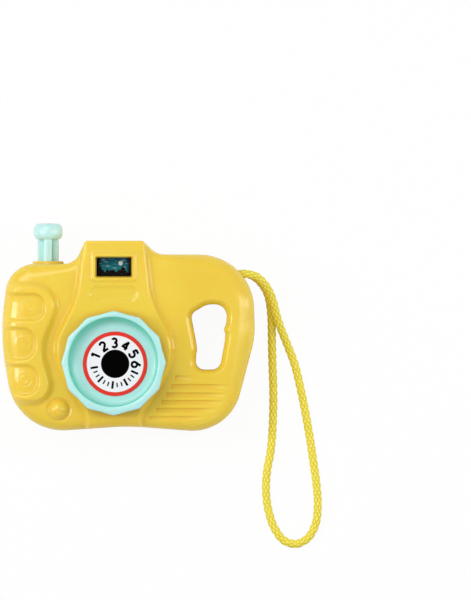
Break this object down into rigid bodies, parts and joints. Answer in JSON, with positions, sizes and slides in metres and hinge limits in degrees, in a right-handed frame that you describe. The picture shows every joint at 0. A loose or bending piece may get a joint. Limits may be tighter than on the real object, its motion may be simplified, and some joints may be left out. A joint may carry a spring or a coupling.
{
  "type": "toy camera",
  "caption": "Moulded toy camera with a shutter plunger that turns a wheel of small pictures, a front window, an eyepiece, a handle hole and a wrist strap.",
  "frame": {"origin": "on the lens axis, on the flat back", "axes": "+X to the right and +Y to the top of the camera as seen from the front, +Z out of the lens"},
  "size_m": [0.1399, 0.1425, 0.04],
  "materials": {
    "body_plastic": "moulded, satin gloss",
    "trim_plastic": "moulded, satin gloss",
    "label": "printed sticker",
    "clear_plastic": "clear polystyrene",
    "film": "printed film",
    "inner_plastic": "moulded",
    "steel": "zinc plated",
    "cord": "braided cord"
  },
  "bodies": {
    "camera_body": {"front_shell": "body_plastic", "rear_shell": "body_plastic", "lens_ring": "trim_plastic", "lens_label": "label", "front_window": "clear_plastic", "wheel_washer": "steel", "wheel_screw": "steel", "click_spring": "inner_plastic", "click_screw": "steel", "return_spring": "steel", "eyepiece_lens": "clear_plastic", "eyepiece_ring": "inner_plastic", "shell_screws": "steel", "strap_cord": "cord", "strap_knot": "cord"},
    "shutter": {"shutter_button": "trim_plastic", "drive_pawl": "inner_plastic", "pawl_screw": "steel"},
    "wheel": {"picture_wheel": "inner_plastic", "picture_film": "film"}
  },
  "joints": [
    {"name": "shutter_press", "type": "slide", "parent": "camera_body", "child": "shutter", "axis": [0, -1, 0], "range_m": [0, 0.0094], "stiffness_N_per_m": 200, "springref_m": -0.003, "deforming": ["return_spring"]},
    {"name": "picture_turn", "type": "hinge", "parent": "camera_body", "child": "wheel", "pos_m": [0, 0.0209, 0.02], "axis": [0, 0, 1], "range_deg": [0, 60], "deforming": ["click_spring"]}
  ],
  "couplings": [
    {"joint": "picture_turn", "follows": "shutter_press", "rad_per_m": 111.4}
  ]
}
